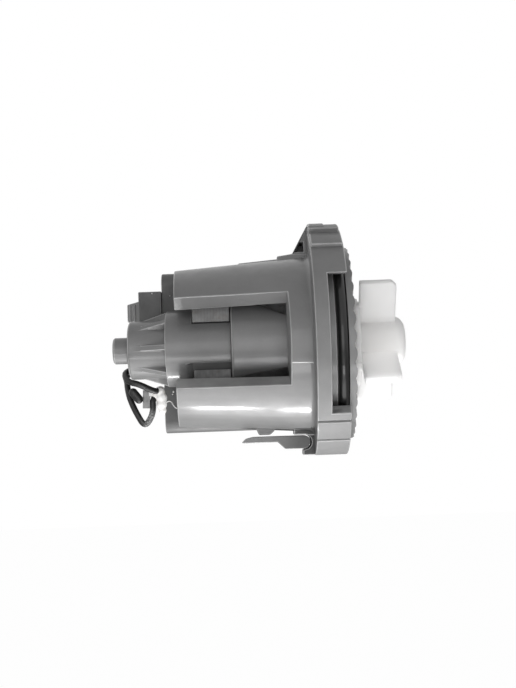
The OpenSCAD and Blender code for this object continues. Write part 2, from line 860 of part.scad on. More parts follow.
module bobbin(side) {
    difference() {
        union() {
            leg_box(side, fit_clear + bobbin_wall, coil_y, coil_end);
            leg_box(side, fit_clear + bobbin_wall + wire_depth, coil_y, coil_y + bobbin_wall);
            leg_box(side, fit_clear + bobbin_wall + wire_depth, coil_end - bobbin_wall, coil_end);
        }
        leg_box(side, fit_clear, coil_y - past, coil_end + past);
    }
}

module winding(side) {
    difference() {
        leg_box(side, fit_clear + bobbin_wall + wire_depth - wire_margin,
            coil_y + bobbin_wall, coil_end - bobbin_wall);
        leg_box(side, fit_clear + bobbin_wall, coil_y, coil_end);
    }
}

module bobbin_upper() {
    color(impeller_white)
        bobbin(1);
}

module bobbin_lower() {
    color(impeller_white)
        bobbin(-1);
}

module winding_upper() {
    color(copper)
        winding(1);
}

module winding_lower() {
    color(copper)
        winding(-1);
}

// Space that the motor cover and the collar take out of the coil housing, grown by a margin
module motor_trough(margin) {
    turned()
        band(0, cover_r + trough_gap + margin, block_rear - past, bulk_x + past);
    turned()
        band(0, collar_r + trough_gap + margin, collar_x - trough_gap - margin, bulk_x + past);
}

module block_outline() {
    rounded([block_front, -block_down], [block_back, block_up], block_round);
}

module coil_housing() {
    color(block_grey)
        difference() {
            union() {
                difference() {
                    bar(block_rear, bulk_x)
                        block_outline();
                    block(
                        [block_rear + block_wall, block_front + block_wall, block_wall - block_down],
                        [bulk_x - block_wall, block_back + past, block_up - block_wall]
                    );
                }
                intersection() {
                    bar(block_rear, bulk_x)
                        block_outline();
                    motor_trough(trough_wall);
                }
            }
            motor_trough(0);
            for (side = [1, -1])
                leg_box(side, fit_clear, -past, coil_y);
        }
}

module coil_lid() {
    pad = 3;
    color(block_grey) {
        translate([0, block_back + lid_t / 2, 0])
            slab(lid_t)
                rounded([block_rear, -block_down], [bulk_x, block_up], block_round / 2);
        for (z = [-leg_out + pad, leg_out - pad])
            block([stack_mid - pad, core_back, z - pad], [stack_mid + pad, block_back + join, z + pad]);
    }
}

// Socket for the plug, trimmed round the motor cover
module connector_socket() {
    low = [block_rear - socket_len, socket_near, socket_top - socket_h];
    high = [block_rear, socket_near + socket_w, socket_top];
    color(block_grey)
        difference() {
            union() {
                difference() {
                    block(low, high);
                    block(
                        [low[0] - past, low[1] + socket_wall, low[2] + socket_wall],
                        [high[0] - socket_wall, high[1] - socket_wall, high[2] - socket_wall]
                    );
                }
                intersection() {
                    block(low, high);
                    turned()
                        band(0, cover_r + trough_gap + socket_wall, low[0] - past, high[0]);
                }
            }
            turned()
                band(0, cover_r + trough_gap, low[0] - past, high[0] + past);
        }
}

// Tongue between the socket's walls that carries the contacts
module connector_tongue() {
    rear = block_rear - socket_len - tongue_out;
    front = block_rear - socket_wall;
    low = socket_top - tongue_drop - tongue_h;
    high = socket_top - tongue_drop;
    slope = 1.2;
    ridge_w = 0.7;
    ridge_pitch = 1.6;
    color(block_grey)
        translate([0, tongue_y, 0]) {
            slab(tongue_t)
                polygon([
                    [rear, low], [rear, high - slope], [rear + tongue_out, high], [front, high], [front, low]
                ]);
            for (i = [0 : 1])
                translate([rear + ridge_pitch * (i + 0.4), 0, 0])
                    block([0, -tongue_t / 2 - ridge_w / 2, low],
                        [ridge_w, join - tongue_t / 2, high - slope]);
        }
}

module contacts() {
    margin = 1.7;
    color(steel)
        for (side = [-1, 1])
            block(
                [
                    block_rear - socket_len + margin,
                    tongue_y + side * (tongue_t + contact_t) / 2 - contact_t / 2,
                    socket_top - tongue_drop - tongue_h + margin
                ],
                [
                    block_rear - socket_wall, tongue_y + side * (tongue_t + contact_t) / 2 + contact_t / 2,
                    socket_top - tongue_drop - margin
                ]
            );
}

module rear_bearing() {
    color(steel)
        turned()
            band(shaft_r + run_clear, bearing_r, rear_bearing_x, rear_bearing_x + rear_bearing_len);
}

module rear_bearing_holder() {
    color(rubber_black)
        turned()
            band(bearing_r + press_clear, can_tail_in_r - press_clear,
                rear_bearing_x, rear_bearing_x + holder_len);
}

module front_bearing() {
    color(steel)
        turned()
            band(shaft_r + run_clear, bearing_r, front_bearing_x, front_bearing_end);
}

module front_bearing_holder() {
    color(rubber_black)
        turned()
            band(bearing_r + press_clear, collar_in_r - press_clear, holder_x, holder_x + holder_len);
}

module thrust_washers() {
    color(impeller_white)
        for (x = [rear_washer_x, front_washer_x])
            turned()
                band(shaft_r + 2 * run_clear, bearing_r, x, x + washer_t);
}

module shaft_seal() {
    color(rubber_black)
        turned()
            band(shaft_r + run_clear, plate_hub_in_r - press_clear,
                -plate_hub_back + past, shaft_seal_len - plate_hub_back + past);
}

module shaft() {
    chamfer = 0.4;
    front = shaft_len - shaft_back;
    color(steel)
        turned()
            polygon([
                [0, -shaft_back], [shaft_r - chamfer, -shaft_back], [shaft_r, chamfer - shaft_back],
                [shaft_r, front - chamfer], [shaft_r - chamfer, front], [0, front]
            ]);
}

module impeller() {
    color(impeller_white)
        difference() {
            union() {
                turned()
                    band(0, base_r, impeller_x, blade_x);
                turned()
                    polygon([
                        [0, impeller_x], [hub_r, impeller_x], [hub_r, nose_x - nose_bevel],
                        [(hub_r + nose_r) / 2 + nose_crown, nose_x - 0.4 * nose_bevel], [nose_r, nose_x],
                        [0, nose_x]
                    ]);
                for (i = [0 : blade_count - 1])
                    at_angle(blade_turn + i * 360 / blade_count)
                        slab(blade_t)
                            polygon([
                                [blade_x - join, shaft_r + join], [blade_x - join, base_r - join],
                                [blade_x, base_r],
                                [blade_x, blade_r], [blade_front - blade_bevel, blade_r],
                                [blade_front, blade_r - blade_bevel], [blade_front, shaft_r + join]
                            ]);
            }
            turned()
                band(0, shaft_r + press_clear, impeller_x - past, shaft_len - shaft_back + move_gap);
        }
}

module drive_dog() {
    color(impeller_white)
        difference() {
            turned()
                polygon([
                    [shaft_r + press_clear, drive_dog_x], [dog_r, drive_dog_x],
                    [dog_r, dog_plate_x + dog_plate_t],
                    [dog_hub_r, dog_plate_x + dog_plate_t], [dog_hub_r, dog_hub_front],
                    [shaft_r + press_clear, dog_hub_front]
                ]);
            swing(90 + dog_half, 450 - dog_half)
                band(dog_hub_r, dog_r + past, drive_dog_x - past, dog_plate_x);
        }
}

module dog_dampers() {
    color(rubber_black)
        for (from = [90 - dog_half - damper_angle, 90 + dog_half])
            swing(from, from + damper_angle)
                band(dog_hub_r + press_clear, dog_r, drive_dog_x, dog_plate_x);
}

module rotor_sleeve() {
    color(impeller_white) {
        turned()
            polygon([
                [sleeve_in_r, sleeve_x], [sleeve_r, sleeve_x], [sleeve_r, magnet_front],
                [dog_r, magnet_front],
                [dog_r, sleeve_dog_x], [sleeve_in_r, sleeve_dog_x]
            ]);
        swing(270 - dog_half, 270 + dog_half)
            band(dog_hub_r + move_gap, dog_r - fit_clear, sleeve_dog_x - join, sleeve_dog_x + dog_len);
    }
}

module rotor_magnet() {
    color(block_grey)
        turned()
            band(sleeve_r + press_clear, magnet_r, magnet_x, magnet_front);
}

// Unit vector, and direction of a route at one of its points
function unit(v) = v / norm(v);
function heading(route, i) = unit(route[min(i + 1, len(route) - 1)] - route[max(i - 1, 0)]);

// Side vector at each point, carried along the route without twist
function side_of(route, i) =
    let (h = heading(route, i), last = i == 0 ? [0.3, 1, 0.2] : side_of(route, i - 1))
    unit(last - h * (last * h));

// Round tube swept along a route
module tube(route, d, sides = 8) {
    n = len(route);
    points = [
        for (i = [0 : n - 1])
            let (h = heading(route, i), u = side_of(route, i), v = cross(h, u))
            for (k = [0 : sides - 1])
                route[i] + (u * cos(360 * k / sides) + v * sin(360 * k / sides)) * d / 2
    ];
    walls = [
        for (i = [0 : n - 2], k = [0 : sides - 1])
            let (a = i * sides + k, b = i * sides + (k + 1) % sides)
            [a, b, b + sides, a + sides]
    ];
    ends = [[for (k = [sides - 1 : -1 : 0]) k], [for (k = [0 : sides - 1]) (n - 1) * sides + k]];
    polyhedron(points, [for (f = concat(walls, ends)) [for (j = [len(f) - 1 : -1 : 0]) f[j]]]);
}

module lead_short() {
    color(rubber_black)
        tube(short_route, lead_d);
}

module lead_loop() {
    color(rubber_black)
        tube(loop_route, lead_d);
}

// Flattened clip that joins the leads
module crimp_terminal() {
    color(steel)
        translate(crimp_at)
            rotate([0, crimp_tilt, 0])
                cube(crimp_size, center = true);
}

// Rounded sleeve of the overheat fuse
module thermal_cutout() {
    color(rubber_black)
        translate(cutout_at)
            rotate([0, cutout_tilt, 0]) {
                cylinder(d = cutout_d, h = cutout_len, center = true);
                for (z = [-cutout_len / 2, cutout_len / 2])
                    translate([0, 0, z])
                        sphere(d = cutout_d);
            }
}

// Blob of glue that holds the leads on the coil housing
module glue_blob() {
    color(impeller_white)
        intersection() {
            union()
                for (span = [[0, 2], [3, 5]])
                    hull()
                        for (b = [for (i = [span[0] : span[1]]) glue_balls[i]])
                            translate([b[0], b[1], b[2]])
                                sphere(b[3], $fn = 16);
            block([block_rear - 10, 0, -40], [block_rear, 40, 0]);
        }
}

flange_housing();
latch_lever();
front_plate();
sump_o_ring();
can_seal();
rotor_can();
motor_cover();
stator_core();
bobbin_upper();
bobbin_lower();
winding_upper();
winding_lower();
coil_housing();
coil_lid();
connector_socket();
connector_tongue();
contacts();
rear_bearing();
rear_bearing_holder();
front_bearing();
front_bearing_holder();
thrust_washers();
shaft_seal();
shaft();
impeller();
drive_dog();
dog_dampers();
rotor_sleeve();
rotor_magnet();
lead_short();
lead_loop();
crimp_terminal();
thermal_cutout();
glue_blob();
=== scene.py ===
"""Dishwasher drain pump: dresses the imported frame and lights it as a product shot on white."""
import math
import random

import bmesh
import bpy
from mathutils import Matrix, Vector


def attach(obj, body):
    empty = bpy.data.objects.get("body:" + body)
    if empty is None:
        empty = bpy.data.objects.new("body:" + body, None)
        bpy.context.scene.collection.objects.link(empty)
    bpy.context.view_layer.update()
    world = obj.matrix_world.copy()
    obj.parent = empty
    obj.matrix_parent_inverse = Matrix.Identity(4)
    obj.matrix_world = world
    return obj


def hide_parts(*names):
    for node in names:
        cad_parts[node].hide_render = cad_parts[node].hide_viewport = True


MM = 0.001
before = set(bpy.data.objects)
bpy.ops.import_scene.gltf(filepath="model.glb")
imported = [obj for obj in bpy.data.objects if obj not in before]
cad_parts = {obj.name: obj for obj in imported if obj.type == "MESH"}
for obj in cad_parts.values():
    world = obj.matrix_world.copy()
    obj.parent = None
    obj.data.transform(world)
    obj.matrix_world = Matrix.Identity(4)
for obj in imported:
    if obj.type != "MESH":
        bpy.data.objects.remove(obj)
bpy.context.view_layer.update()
scene = bpy.context.scene
scene.view_settings.view_transform = "Standard"


# Camera
def make_camera():
    """Looks along +Y from 4 degrees below, rolled by 2 degrees."""
    tilt, roll, distance = math.radians(4), math.radians(2.09), 0.3567
    x_axis = Vector((1, 0, 0))
    rise = Vector((0, -math.sin(tilt), math.cos(tilt)))
    back = Vector((0, -math.cos(tilt), -math.sin(tilt)))
    right = x_axis * math.cos(roll) - rise * math.sin(roll)
    up = x_axis * math.sin(roll) + rise * math.cos(roll)
    data = bpy.data.cameras.new("camera")
    data.sensor_fit = "VERTICAL"
    data.sensor_height = 36
    data.lens = 56
    data.clip_start, data.clip_end = 0.01, 10
    camera = bpy.data.objects.new("camera", data)
    scene.collection.objects.link(camera)
    turn = Matrix((right, up, back)).transposed().to_4x4()
    place = Vector((-0.022, 0, 0)) + back * distance + rise * 0.00073
    camera.matrix_world = Matrix.Translation(place) @ turn
    scene.camera = camera


make_camera()


# Materials
def tone(value, warmth=0.0):
    """Linear colour of an sRGB grey from 0 to 255, slightly warm or cool."""
    def lin(v):
        v = max(v, 0) / 255
        return v / 12.92 if v <= 0.04045 else ((v + 0.055) / 1.055) ** 2.4
    return (lin(value + warmth), lin(value), lin(value - warmth), 1)


class Nodes:
    """Short way to build a material's node tree."""

    def __init__(self, name):
        self.material = bpy.data.materials.new(name)
        self.material.use_nodes = True
        self.tree = self.material.node_tree
        self.shader = self.tree.nodes["Principled BSDF"]
        self.coords = self.tree.nodes.new("ShaderNodeTexCoord").outputs["Object"]

    def new(self, kind, **values):
        node = self.tree.nodes.new(kind)
        for key, value in values.items():
            if hasattr(node, key):
                setattr(node, key, value)
            else:
                node.inputs[key.replace("_", " ")].default_value = value
        return node

    def link(self, a, b):
        self.tree.links.new(a, b)

    def set(self, **values):
        """Sets numbers on the shader's own sockets."""
        for key, value in values.items():
            self.shader.inputs[key.replace("_", " ")].default_value = value

    def finish(self, colour, roughness, normal):
        """Links the three maps that every finish here has."""
        self.link(colour, self.shader.inputs["Base Color"])
        self.link(roughness, self.shader.inputs["Roughness"])
        self.link(normal, self.shader.inputs["Normal"])
        return self.material

    def along(self, axis):
        part = self.new("ShaderNodeSeparateXYZ")
        self.link(self.coords, part.inputs[0])
        return part.outputs[axis]

    def bands(self, axis, scale, distortion):
        node = self.new("ShaderNodeTexWave", wave_type="BANDS", bands_direction=axis, Scale=scale,
                        Distortion=distortion, Detail=2)
        self.link(self.coords, node.inputs["Vector"])
        return node.outputs["Fac"]

    def stretched(self, scale):
        mapping = self.new("ShaderNodeMapping")
        mapping.inputs["Scale"].default_value = scale
        self.link(self.coords, mapping.inputs["Vector"])
        return mapping.outputs["Vector"]

    def noise(self, scale, detail=3, rough=0.5, stretch=None):
        node = self.new("ShaderNodeTexNoise", Scale=scale, Detail=detail, Roughness=rough)
        self.link(self.stretched(stretch) if stretch else self.coords, node.inputs["Vector"])
        return node.outputs["Fac"]

    def ramp(self, source, low, high, from_low=0.3, from_high=0.7):
        node = self.new("ShaderNodeMapRange")
        for key, value in zip(("From Min", "From Max", "To Min", "To Max"), (from_low, from_high, low, high)):
            node.inputs[key].default_value = value
        self.link(source, node.inputs["Value"])
        return node.outputs["Result"]

    def mix(self, fac, a, b):
        node = self.new("ShaderNodeMix", data_type="RGBA")
        for socket, value in ((node.inputs[0], fac), (node.inputs[6], a), (node.inputs[7], b)):
            if isinstance(value, bpy.types.NodeSocket):
                self.link(value, socket)
            else:
                socket.default_value = value
        return node.outputs[2]

    def bump(self, height, distance, strength=1.0, below=None):
        node = self.new("ShaderNodeBump", Strength=strength, Distance=distance)
        self.link(height, node.inputs["Height"])
        if below is not None:
            self.link(below, node.inputs["Normal"])
        return node.outputs["Normal"]


def plastic(name, value, spread=6, rough=0.42, grain=0.012, warmth=0.0, coat=0.0, painted_shade=None):
    """Moulded plastic: slight cloudiness, fine specks, an eroded grain, faint flow lines and a greasy sheen.
    Painted shade, if given, darkens the colour along X from where it starts to where it ends, in millimetres,
    towards its tone.
    """
    n = Nodes(name)
    cloud = n.noise(70, 4, 0.6)
    colour = n.mix(n.ramp(cloud, 0, 1), tone(value - spread, warmth), tone(value + spread, warmth))
    speck = n.ramp(n.noise(2600, 2, 0.6), 0, 0.12, 0.62, 0.8)
    colour = n.mix(speck, colour, tone(min(value + 60, 250), warmth))
    if painted_shade:
        start, end, dark = painted_shade
        # painted shade: darker along X towards the lever's root
        colour = n.mix(n.ramp(n.along("X"), 0, 0.85, start * MM, end * MM), colour, tone(dark))
    worn = n.ramp(n.noise(180, 4, 0.6), rough - 0.06, rough + 0.08)
    eroded = n.bump(n.noise(5200, 2, 0.55), grain * MM)
    flow = n.bump(n.noise(260, 3, 0.6, stretch=(0.25, 1, 1)), 0.03 * MM, 0.6, eroded)
    n.set(Coat_Weight=coat, Coat_Roughness=0.14)
    return n.finish(colour, worn, flow)


def rubber(name):
    n = Nodes(name)
    dust = n.ramp(n.noise(900, 4, 0.7), 0, 0.25, 0.58, 0.8)
    n.set(Specular_IOR_Level=0.3, Coat_Weight=0.35, Coat_Roughness=0.08)
    return n.finish(n.mix(dust, tone(17), tone(52)), n.ramp(n.noise(300, 3), 0.32, 0.46),
                    n.bump(n.noise(2200, 3), 0.01 * MM))


def acetal(name):
    """White impeller plastic that lets a little light in."""
    n = Nodes(name)
    cloud = n.ramp(n.noise(60, 3), 0, 1)
    n.set(Specular_IOR_Level=0.25, Subsurface_Weight=1.0, Subsurface_Radius=(0.01, 0.01, 0.01),
          Subsurface_Scale=1.0)
    return n.finish(n.mix(cloud, tone(220, 1), tone(228, 1)), n.ramp(n.noise(240, 3), 0.38, 0.5),
                    n.bump(n.noise(4200, 2), 0.008 * MM))


def sheet_steel(name):
    """Varnished edge of a stack of thin steel sheets across X, with painted shade darkening it towards the
    bottom.
    """
    n = Nodes(name)
    bands = n.bands("X", 314, 0.3)
    rust = n.ramp(n.noise(500, 5, 0.65), 0, 0.6, 0.55, 0.75)
    # painted shade: darker towards the bottom, where the lower pole tip sits in shadow
    shaded_below = n.ramp(n.along("Z"), 1, 0, -14 * MM, 0)
    colour = n.mix(shaded_below, n.mix(rust, tone(104), tone(78, 7)), n.mix(rust, tone(62), tone(50, 5)))
    colour = n.mix(n.ramp(bands, 0.15, 0, 0, 0.35), colour, tone(48))
    n.set(Metallic=0.35)
    return n.finish(colour, n.ramp(n.noise(700, 3), 0.4, 0.6), n.bump(bands, 0.015 * MM))


def metal(name, value, rough):
    n = Nodes(name)
    bright = tone(value)
    dull = tuple(c * 0.6 for c in bright[:3]) + (1,)
    stain = n.ramp(n.noise(400, 4, 0.6), 0, 0.5, 0.5, 0.8)
    n.set(Metallic=1.0)
    return n.finish(n.mix(stain, bright, dull), n.ramp(n.noise(900, 3), rough - 0.08, rough + 0.1),
                    n.bump(n.noise(1500, 3, stretch=(1, 6, 6)), 0.006 * MM))


def wire_wound(name):
    """Enamelled copper turns round a core leg."""
    n = Nodes(name)
    bands = n.bands("Y", 600, 0.6)
    colour = n.mix(n.ramp(bands, 0, 1, 0, 1), (0.20, 0.06, 0.02, 1), (0.62, 0.24, 0.09, 1))
    n.set(Metallic=0.8)
    return n.finish(colour, n.ramp(n.noise(500, 3), 0.25, 0.4), n.bump(bands, 0.1 * MM))


def glue_mass(name):
    """Cloudy hot-melt glue."""
    n = Nodes(name)
    cloud = n.ramp(n.noise(520, 4, 0.6), 0, 1, 0.35, 0.65)
    n.set(Subsurface_Weight=0.6, Subsurface_Radius=(0.002, 0.002, 0.002), Subsurface_Scale=1.0)
    return n.finish(n.mix(cloud, tone(234, 3), tone(252, 1)), n.ramp(n.noise(800, 3), 0.16, 0.34),
                    n.bump(n.noise(700, 4, 0.6), 0.04 * MM))


def ceramic(name, value, rough):
    n = Nodes(name)
    colour = n.mix(n.ramp(n.noise(1200, 4), 0, 1), tone(value - 8), tone(value + 8))
    return n.finish(colour, n.ramp(n.noise(900, 3), rough - 0.06, rough + 0.1),
                    n.bump(n.noise(3000, 3), 0.012 * MM))


# Where the long lead is creased, and how far the painted highlight there reaches, in millimetres
CREASE = (-59.6, 9.0, -22.6)
GLINT_INNER, GLINT_OUTER = 1.2, 3.6


def insulation(name):
    """Black lead insulation, dull, with rubbed streaks and a painted highlight at its crease."""
    n = Nodes(name)
    rubbed = n.ramp(n.noise(1400, 5, 0.7), 0, 0.4, 0.54, 0.78)
    colour = n.mix(rubbed, tone(22), tone(70))
    reach = n.new("ShaderNodeVectorMath", operation="DISTANCE")
    reach.inputs[1].default_value = [v * MM for v in CREASE]
    n.link(n.coords, reach.inputs[0])
    # painted highlight: mottled light grey round the crease of the long lead
    glint = n.new("ShaderNodeMath", operation="MULTIPLY")
    n.link(n.ramp(reach.outputs["Value"], 1, 0, GLINT_INNER * MM, GLINT_OUTER * MM), glint.inputs[0])
    n.link(n.ramp(n.noise(1900, 4, 0.7), 0.1, 0.9, 0.4, 0.6), glint.inputs[1])
    return n.finish(n.mix(glint.outputs[0], colour, tone(150)), n.ramp(n.noise(600, 3), 0.34, 0.5),
                    n.bump(n.noise(1600, 3), 0.03 * MM))


MATERIALS = {
    "housing_plastic": plastic("housing_plastic", 104, 5, 0.42, 0.010, coat=0.3),
    "cover_plastic": plastic("cover_plastic", 105, 5, 0.4, 0.012, coat=0.25),
    "block_plastic": plastic("block_plastic", 82, 6, 0.5, 0.02),
    "impeller_plastic": acetal("impeller_plastic"),
    "seal_rubber": rubber("seal_rubber"),
    "core_steel": sheet_steel("core_steel"),
    "bobbin_plastic": plastic("bobbin_plastic", 205, 6, 0.45, 0.01, 2),
    "winding_copper": wire_wound("winding_copper"),
    "contact_tin": metal("contact_tin", 128, 0.5),
    "bearing_carbon": ceramic("bearing_carbon", 58, 0.45),
    "shaft_steel": metal("shaft_steel", 200, 0.22),
    "magnet_ferrite": ceramic("magnet_ferrite", 62, 0.55),
    "lead_insulation": insulation("lead_insulation"),
    "hot_glue": glue_mass("hot_glue"),
}

# Painted highlights along the rounded edges of the mouldings, a good deal lighter than their faces
EDGE_HIGHLIGHTS = {
    "housing_plastic": plastic("housing_edge", 142, 16, 0.36, 0.006, coat=0.3),
    "cover_plastic": plastic("cover_edge", 146, 16, 0.36, 0.006, coat=0.3),
    "block_plastic": plastic("block_edge", 116, 14, 0.42, 0.01),
}

RING_PLASTIC = plastic("ring_plastic", 112, 6, 0.52, 0.014, coat=0.05)
# Painted shade for the lever's root: a near black copy of the housing plastic
ROOT_SHADE_PLASTIC = plastic("root_shade_plastic", 48, 8, 0.5, 0.014)

# Places of a piece's finishes after its faces': its edges with their painted highlight, and on the housing also
# the ring and the painted shade of the lever's root
PAINTED_LIGHT, RING, PAINTED_SHADE = 1, 2, 3

# Zones of the housing, in millimetres: the rim's least radius, and boxes as lowest and highest corner.
# ROOT is the lever's root, which gets painted shade, LIP the window's lower lip, whose faces look up and get
# painted light, and PAD_END where its pad runs out.
RIM_FROM = 33
ROOT = (-11.6, -12, -100), (-3.2, 12, -27.5)
LIP = (-56, -100, -17), (-9, 0, -10)
UPWARD = 0.7
PAD_END = (-13.6, -100, 14.5), (-6, 0, 21)

# Where the painted shade on the lever starts and ends along X, in millimetres, and its tone, darkest at its
# root
LEVER_SHADE = (-19, -9.5, 30)


def inside(point, box):
    """Whether a point in metres lies in a box in millimetres."""
    return all(low < value / MM < high for low, value, high in zip(box[0], point, box[1]))


# Pieces
def add_object(name, data, slot, body, replaced=()):
    """Links a finished piece, gives it its finish, and says what it rides on and stands for."""
    piece = bpy.data.objects.new(name, data)
    scene.collection.objects.link(piece)
    data.materials.clear()
    data.materials.append(MATERIALS[slot])
    if slot in EDGE_HIGHLIGHTS:
        data.materials.append(EDGE_HIGHLIGHTS[slot])
    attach(piece, body)
    if replaced:
        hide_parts(*replaced)
    return piece


# Bend of an edge that is rounded, and bend up to which faces are taken as one
SHARP = math.radians(28)
FLAT = math.radians(0.4)


def clean_copy(node):
    """bmesh of a CAD node with its points welded and its flat faces whole."""
    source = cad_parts[node].data
    bm = bmesh.new()
    points = [bm.verts.new(v.co) for v in source.vertices]
    for polygon in source.polygons:
        try:
            bm.faces.new([points[i] for i in polygon.vertices])
        except ValueError:
            pass
    bmesh.ops.remove_doubles(bm, verts=bm.verts, dist=1e-6)
    bmesh.ops.dissolve_degenerate(bm, dist=1e-7, edges=bm.edges)
    bmesh.ops.dissolve_limit(bm, angle_limit=FLAT, verts=bm.verts, edges=bm.edges)
    bmesh.ops.recalc_face_normals(bm, faces=bm.faces)
    return bm


def mark_edges(bm):
    """Outer corners are rounded, but not where the pad by the window runs out. Inner ones stay crisp."""
    weight = bm.edges.layers.float.new("bevel_weight_edge")
    for edge in bm.edges:
        if len(edge.link_faces) != 2:
            continue
        bend = edge.calc_face_angle_signed(0)
        if bend > SHARP and not all(inside(v.co, PAD_END) for v in edge.verts):
            edge[weight] = 1
        elif bend < -SHARP:
            edge.smooth = False


def to_mesh(bm, name):
    mesh = bpy.data.meshes.new(name)
    bm.to_mesh(mesh)
    bm.free()
    for polygon in mesh.polygons:
        polygon.use_smooth = True
    return mesh


def fillet(piece, width):
    """Rounds the piece's marked edges, with width in millimetres, and gives them the lighter finish of a
    painted highlight.
    """
    modifier = piece.modifiers.new("fillet", "BEVEL")
    modifier.width = width * MM
    modifier.segments = 2
    modifier.limit_method = "WEIGHT"
    modifier.use_clamp_overlap = False
    modifier.miter_outer = "MITER_ARC"
    modifier.material = min(PAINTED_LIGHT, len(piece.data.materials) - 1)
    shade = piece.modifiers.new("shade", "WEIGHTED_NORMAL")
    shade.keep_sharp = True
    shade.weight = 80
    return piece


def dress(node, slot, body, width):
    """The node's own shape with rounded edges."""
    bm = clean_copy(node)
    mark_edges(bm)
    return fillet(add_object(node + "_shell", to_mesh(bm, node + "_shell"), slot, body, [node]), width)


def remesh(piece, voxel, rounds, factor=0.5):
    """Gives the piece an even skin with soft edges. The voxel size is in millimetres."""
    skin = piece.modifiers.new("skin", "REMESH")
    skin.mode = "VOXEL"
    skin.voxel_size = voxel * MM
    skin.use_smooth_shade = True
    smooth = piece.modifiers.new("smooth", "SMOOTH")
    smooth.factor, smooth.iterations = factor, rounds
    return piece


def soften(node, slot, body, voxel, rounds):
    """The node's own shape with soft moulded edges."""
    piece = add_object(node + "_shell", to_mesh(clean_copy(node), node + "_shell"), slot, body, [node])
    return remesh(piece, voxel, rounds)


def dull_ring_and_paint_light(piece):
    """The ring's rim and claws are duller than the body, the upward faces of the window's lower lip get
    painted light from the lighter edge finish, and the lever's root gets painted shade.
    """
    piece.data.materials.append(RING_PLASTIC)
    piece.data.materials.append(ROOT_SHADE_PLASTIC)
    for polygon in piece.data.polygons:
        place = polygon.center
        # painted shade: the lever's root gets the near black finish
        if inside(place, ROOT):
            polygon.material_index = PAINTED_SHADE
        elif math.hypot(place.y, place.z) > RIM_FROM * MM:
            polygon.material_index = RING
        # painted light: the lip's upward faces get the lighter edge finish
        elif inside(place, LIP) and polygon.normal.z > UPWARD:
            polygon.material_index = PAINTED_LIGHT


HOUSING, SPINNER, ROTOR, LATCH = "housing", "impeller_shaft", "rotor", "latch"

# Leads first, along the CAD routes, in millimetres
LEAD_D = 2.1
SHORT_ROUTE = [
    (-59.5, 16.5, 6.1), (-59.5, 16.5, 3), (-60.1, 16, 0), (-61.2, 15, -2.6), (-63, 13.7, -4.5),
    (-65.2, 12.9, -5.6), (-67, 12.2, -6.23), (-67.79, 10.6, -7.16), (-67.41, 8.8, -8.82),
    (-65.91, 7.4, -10.15), (-63.65, 6.8, -10.8), (-61.49, 7, -11.69), (-59.57, 7.8, -12.65),
    (-57.8, 8.6, -13.37), (-56.21, 9.8, -13.5),
]
LOOP_ROUTE = [
    (-61.5, 21.5, 6.1), (-61.5, 21.5, 3), (-62.3, 20.6, -1), (-64.8, 19, -5),
    (-68.03, 16.8, -7.77), (-67.78, 14.8, -10.11), (-67.38, 13.2, -12.59), (-66.66, 12.1, -15.4),
    (-65.47, 11.2, -18.37), (-64.23, 10.5, -20.85), (-63.12, 10.2, -22.87), (-62.28, 10, -24.12),
    (-61.47, 9.9, -24.59), (-60.64, 9.9, -24.21), (-59.84, 9.8, -23.12), (-59, 9.7, -21.45),
    (-58.52, 9.7, -19.15), (-58.57, 9.8, -16.93), (-58.17, 10.6, -15.67),
]


def smooth_route(points, steps):
    """Points on a curve through the given points, in metres."""
    p = [Vector(q) * MM for q in points]
    p = [p[0] * 2 - p[1]] + p + [p[-1] * 2 - p[-2]]
    out = []
    for i in range(1, len(p) - 2):
        a, b, c, d = p[i - 1:i + 3]
        for k in range(steps):
            t = k / steps
            out.append(0.5 * (2 * b + (c - a) * t + (2 * a - 5 * b + 4 * c - d) * t * t
                              + (3 * b - a - 3 * c + d) * t * t * t))
    out.append(p[-2])
    return out


def tube(name, points, radius, resolution):
    """Round string through the points. The radius is in millimetres."""
    curve = bpy.data.curves.new(name, "CURVE")
    curve.dimensions = "3D"
    curve.bevel_depth = radius * MM
    curve.bevel_resolution = resolution
    curve.use_fill_caps = True
    spline = curve.splines.new("POLY")
    spline.points.add(len(points) - 1)
    for point, place in zip(spline.points, points):
        point.co = (*place, 1)
    spline.use_smooth = True
    return curve


def make_lead(node, route):
    points = smooth_route(route, 2)
    curve = tube(node + "_wire", points, LEAD_D / 2, 5)
    piece = add_object(node + "_wire", curve, "lead_insulation", HOUSING, [node])


make_lead("lead_short", SHORT_ROUTE)
make_lead("lead_loop", LOOP_ROUTE)

# Visible mouldings with rounded edges
for node, slot, width in (
    ("flange_housing", "housing_plastic", 0.35),
    ("motor_cover", "cover_plastic", 0.25),
    ("rotor_can", "cover_plastic", 0.2),
    ("coil_housing", "block_plastic", 0.3),
    ("coil_lid", "block_plastic", 0.3),
    ("connector_socket", "block_plastic", 0.25),
    ("connector_tongue", "cover_plastic", 0.25),
    ("stator_core", "core_steel", 0.12),
):
    shell = dress(node, slot, HOUSING, width)
    if node == "flange_housing":
        dull_ring_and_paint_light(shell)
lever = dress("latch_lever", "housing_plastic", LATCH, 0.25)
# the lever's finishes carry the painted shade towards its root
lever.data.materials[0] = plastic("lever_plastic", 104, 5, 0.42, 0.010, coat=0.3, painted_shade=LEVER_SHADE)
lever.data.materials[PAINTED_LIGHT] = plastic("lever_edge", 146, 16, 0.36, 0.006, coat=0.3, painted_shade=LEVER_SHADE)
soften("impeller", "impeller_plastic", SPINNER, 0.3, 5)
dress("contacts", "contact_tin", HOUSING, 0.1)

